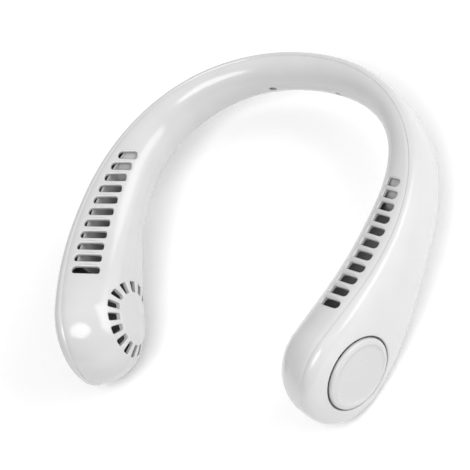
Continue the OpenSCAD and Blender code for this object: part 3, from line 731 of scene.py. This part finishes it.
# Stamped silicon steel of the stator: grey with a blue oxide tint
STATOR_STEEL = finish(
    "silicon steel, stamped", "#6E7278", "#858A90", 0.3, (0.35, 0.5), 0.01, Metallic=1.0
)
# Bonded ferrite ring: near black with a fine sparkle
FERRITE = finish("bonded ferrite, pressed", "#202124", "#2D2E31", 0.2, (0.45, 0.6), 0.01)
# Zinc-plated steel of the screws, shafts and port: bright and slightly brushed
STEEL = finish("steel, zinc-plated", "#B4B7BA", "#C8CBCE", 0.3, (0.2, 0.32), 0.004, Metallic=1.0)
# Solder mask over glass laminate: deep green, glossy, with the weave just showing through
BOARD = finish("glass laminate, solder mask", "#0E4A2A", "#155A35", 0.5, (0.25, 0.35), 0.01)
# Foil of the pouch cells: dull silver, finely creased
FOIL = finish(
    "aluminium foil, laminated", "#A9B0B8", "#BFC5CC", 2.5, (0.3, 0.42), 0.06, 4.0, Metallic=1.0
)
# Black nylon of the switch
SWITCH_NYLON = finish("black nylon, moulded", "#151617", "#1E1F20", 0.4, (0.4, 0.5), 0.01)
# Cast epoxy of the light-emitting diodes: creamy and glossy
EPOXY = finish("clear epoxy, cast", "#DDD6A6", "#EAE3B8", 0.5, (0.1, 0.2), IOR=1.55)
# Acrylic light guide: clear, with a milky core
ACRYLIC = finish(
    "clear acrylic, moulded", "#DDE3E8", "#E8EDF1", 1.5, (0.05, 0.1),
    IOR=1.49, Transmission_Weight=0.5,
)
# Silicone insulation of the leads: black and dull
SILICONE = finish("silicone, extruded", "#141414", "#1F1F1F", 0.5, (0.55, 0.65), 0.01)

# ---------------------------------------------------------------- pieces

# The shells' inside and the openings' walls take the darker grey, which is painted shade
SHELL_ABS = [GLOSS_ABS, SHADED_INSIDE_ABS]
outside = outside_tree()
# The air slots that reach into the parting line's groove need the careful cut
inner = cut_piece(
    shell_solid(-1), inner_openings(outside), "inner_housing", SHELL_ABS, 1000, careful=True
)
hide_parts("inner_shell")
outer = cut_piece(shell_solid(1), outer_openings(outside), "outer_housing", SHELL_ABS, 1000)
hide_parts("outer_shell")

for side, place in (("right", cap_place()), ("left", flip_side(cap_place()))):
    bm = turned(cap_profile(), place)
    add_legs(bm, place)
    bmesh.ops.recalc_face_normals(bm, faces=bm.faces)
    # The cap's slightly darker grey is painted shade
    cap = finish_mesh(bm, side + "_cap_disc", "housing", [SHADED_CAP_ABS], sharp=50)
    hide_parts(side + "_cap")
    # The seat behind the cap is in the darker inside grey, painted shade
    bm = turned(seat_profile(), place)
    bmesh.ops.recalc_face_normals(bm, faces=bm.faces)
    cut_piece(bm, seat_vents(place), side + "_cap_seat", [SHADED_INSIDE_ABS], 100)

# The CAD's own nodes keep their shape: those that come in a left and a right one, and the others
PAIRED_FINISHES = {
    "duct_wall": DUCT_ABS, "fan_frame": DUCT_ABS, "bearing": BRONZE, "stator": STATOR_STEEL,
    "motor_board": BOARD, "impeller": FAN_NYLON, "magnet": FERRITE, "shaft": STEEL,
    "battery": FOIL,
}
SINGLE_FINISHES = {
    "duct_seals": FOAM, "battery_pads": FOAM, "frame_screws": STEEL, "neck_screws": STEEL,
    "main_board": BOARD, "charging_port": STEEL, "push_switch": SWITCH_NYLON,
    "charge_lights": EPOXY, "light_guide": ACRYLIC, "power_button": GLOSS_ABS,
    "wiring": SILICONE,
}
paired = {f"{side}_{n}": m for n, m in PAIRED_FINISHES.items() for side in ("left", "right")}
for name, material in (paired | SINGLE_FINISHES).items():
    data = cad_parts[name].data
    data.materials.clear()
    data.materials.append(material)

# ---------------------------------------------------------------- floor and light, in metres

# The floor is a hair below the fan's lowest point, so that no two faces are in one plane
FLOOR_HALF, FLOOR_DROP = 3, 0.0003

floor_mesh = bpy.data.meshes.new("floor")
bm = bmesh.new()
bmesh.ops.create_grid(bm, x_segments=1, y_segments=1, size=FLOOR_HALF)
bmesh.ops.translate(bm, vec=(0, 0, -FLOOR_DROP), verts=bm.verts)
bm.to_mesh(floor_mesh)
bm.free()
floor = bpy.data.objects.new("floor", floor_mesh)
bpy.context.scene.collection.objects.link(floor)
floor_mesh.materials.append(finish("paper, white", "#FAFAFA", "#FCFCFC", 1.2, (0.85, 0.95)))


def soft_box(name, place, target, size, glow, shape="RECTANGLE"):
    """A lamp with a wide, even face of that brightness, turned to its target."""
    area = size[0] * size[1] * (math.pi / 4 if shape == "ELLIPSE" else 1)
    data = bpy.data.lights.new(name, "AREA")
    data.shape, data.energy = shape, glow * math.pi * area
    data.size, data.size_y = size
    lamp = bpy.data.objects.new(name, data)
    lamp.location = place
    lamp.rotation_euler = (Vector(target) - Vector(place)).to_track_quat("-Z", "Y").to_euler()
    bpy.context.scene.collection.objects.link(lamp)


# A tall panel to the right and behind, dimmer at its foot, and a round dish above the front
soft_box("panel_top", (1.387, 0.402, 0.985), (0.744, -0.364, 0.985), (1.82, 0.87), 4.0)
soft_box("panel_foot", (1.387, 0.402, 0.285), (0.744, -0.364, 0.285), (1.82, 0.53), 1.2)
soft_box("front_dish", (0.348, -0.747, 1.4), (0, 0, 0.03), (1.15, 0.8), 5.6, "ELLIPSE")

world = bpy.data.worlds.new("studio")
world.use_nodes = True
studio = world.node_tree


def room_light(way, falloff, strength, rest):
    """Soft light from one side of the room, added to the rest."""
    ray = add(studio, "TexCoord").outputs["Generated"]
    side = Vector(way).normalized()
    facing = add(studio, "VectorMath", {0: ray, 1: side}, operation="DOT_PRODUCT")
    there = add(studio, "Math", {0: facing.outputs["Value"], 1: 0.0}, operation="MAXIMUM")
    soft = add(studio, "Math", {0: there.outputs[0], 1: falloff}, operation="POWER")
    total = {0: soft.outputs[0], 1: strength, 2: rest}
    return add(studio, "Math", total, operation="MULTIPLY_ADD").outputs[0]


# The room is brightest overhead, and its back left corner is paler than the front right
overhead = room_light((0, 0, 1), 4, 0.6, 0.32)
corner = room_light((-1, 1, 1), 3, 0.33, overhead)
studio.nodes["Background"].inputs["Color"].default_value = (1, 1, 1, 1)
studio.links.new(corner, studio.nodes["Background"].inputs["Strength"])
bpy.context.scene.world = world
bpy.context.scene.view_settings.view_transform = "Standard"
